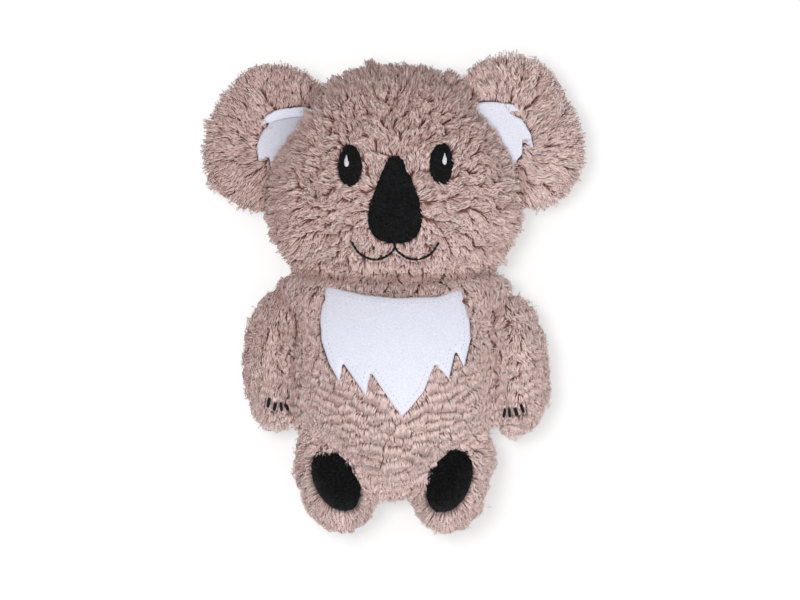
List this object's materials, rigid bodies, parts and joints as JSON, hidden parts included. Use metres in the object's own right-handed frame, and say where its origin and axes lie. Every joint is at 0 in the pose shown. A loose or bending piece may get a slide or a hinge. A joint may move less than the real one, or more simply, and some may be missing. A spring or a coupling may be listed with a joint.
{
  "type": "plush koala",
  "caption": "Stuffed koala lying on its back, with round ears, a white felt bib, a black felt nose and foot pads, and limbs, ears and head that fold at their seams.",
  "frame": {"origin": "on the surface that the toy lies on, under the middle of its outline", "axes": "+Z out of the belly, +Y towards the top of the head, +X towards the toy's own left side"},
  "size_m": [0.2552, 0.3216, 0.079],
  "materials": {
    "fur_fabric": "clumped dusty pink-brown pile, about 9 mm long",
    "fibre_fill": "loose polyester fibre",
    "white_felt": "smooth short-napped felt",
    "black_felt": "short-napped felt",
    "black_thread": "satin-stitched thread",
    "white_thread": "satin-stitched thread"
  },
  "bodies": {
    "torso": {"torso_front_panel": "fur_fabric", "torso_back_panel": "fur_fabric", "torso_stuffing": "fibre_fill", "chest_bib": "white_felt"},
    "head": {"head_front_panel": "fur_fabric", "head_back_panel": "fur_fabric", "head_stuffing": "fibre_fill", "nose_felt": "black_felt", "mouth_embroidery": "black_thread", "eye_left": "black_felt", "eye_right": "black_felt", "eye_highlight_left": "white_thread", "eye_highlight_right": "white_thread"},
    "ear_left": {"ear_left_front_panel": "fur_fabric", "ear_left_back_panel": "fur_fabric", "ear_left_stuffing": "fibre_fill", "ear_left_felt": "white_felt"},
    "ear_right": {"ear_right_front_panel": "fur_fabric", "ear_right_back_panel": "fur_fabric", "ear_right_stuffing": "fibre_fill", "ear_right_felt": "white_felt"},
    "arm_left": {"arm_left_front_panel": "fur_fabric", "arm_left_back_panel": "fur_fabric", "arm_left_stuffing": "fibre_fill", "claw_left_1": "black_thread", "claw_left_2": "black_thread", "claw_left_3": "black_thread", "claw_left_4": "black_thread"},
    "arm_right": {"arm_right_front_panel": "fur_fabric", "arm_right_back_panel": "fur_fabric", "arm_right_stuffing": "fibre_fill", "claw_right_1": "black_thread", "claw_right_2": "black_thread", "claw_right_3": "black_thread", "claw_right_4": "black_thread"},
    "leg_left": {"leg_left_front_panel": "fur_fabric", "leg_left_back_panel": "fur_fabric", "leg_left_stuffing": "fibre_fill", "foot_pad_left": "black_felt"},
    "leg_right": {"leg_right_front_panel": "fur_fabric", "leg_right_back_panel": "fur_fabric", "leg_right_stuffing": "fibre_fill", "foot_pad_right": "black_felt"}
  },
  "joints": [
    {"name": "neck", "type": "hinge", "parent": "torso", "child": "head", "pos_m": [-0.00017, 0.01324, 0.022], "axis": [1, 0, 0], "range_deg": [-5, 25], "stiffness_Nm_per_rad": 0.05},
    {"name": "ear_left_fold", "type": "hinge", "parent": "head", "child": "ear_left", "pos_m": [0.07822, 0.09768, 0.022], "axis": [0.4072, -0.9133, 0], "range_deg": [-10, 45], "stiffness_Nm_per_rad": 0.01},
    {"name": "ear_right_fold", "type": "hinge", "parent": "head", "child": "ear_right", "pos_m": [-0.07856, 0.09768, 0.022], "axis": [0.4072, 0.9133, 0], "range_deg": [-10, 45], "stiffness_Nm_per_rad": 0.01},
    {"name": "shoulder_left", "type": "hinge", "parent": "torso", "child": "arm_left", "pos_m": [0.07374, -0.0059, 0.022], "axis": [-0.6273, -0.7788, 0], "range_deg": [-5, 40], "stiffness_Nm_per_rad": 0.02},
    {"name": "shoulder_right", "type": "hinge", "parent": "torso", "child": "arm_right", "pos_m": [-0.07407, -0.0059, 0.022], "axis": [-0.6273, 0.7788, 0], "range_deg": [-5, 40], "stiffness_Nm_per_rad": 0.02},
    {"name": "hip_left", "type": "hinge", "parent": "torso", "child": "leg_left", "pos_m": [0.02911, -0.12362, 0.022], "axis": [-0.7827, -0.6224, 0], "range_deg": [-5, 35], "stiffness_Nm_per_rad": 0.02},
    {"name": "hip_right", "type": "hinge", "parent": "torso", "child": "leg_right", "pos_m": [-0.02945, -0.12362, 0.022], "axis": [-0.7827, 0.6224, 0], "range_deg": [-5, 35], "stiffness_Nm_per_rad": 0.02}
  ]
}
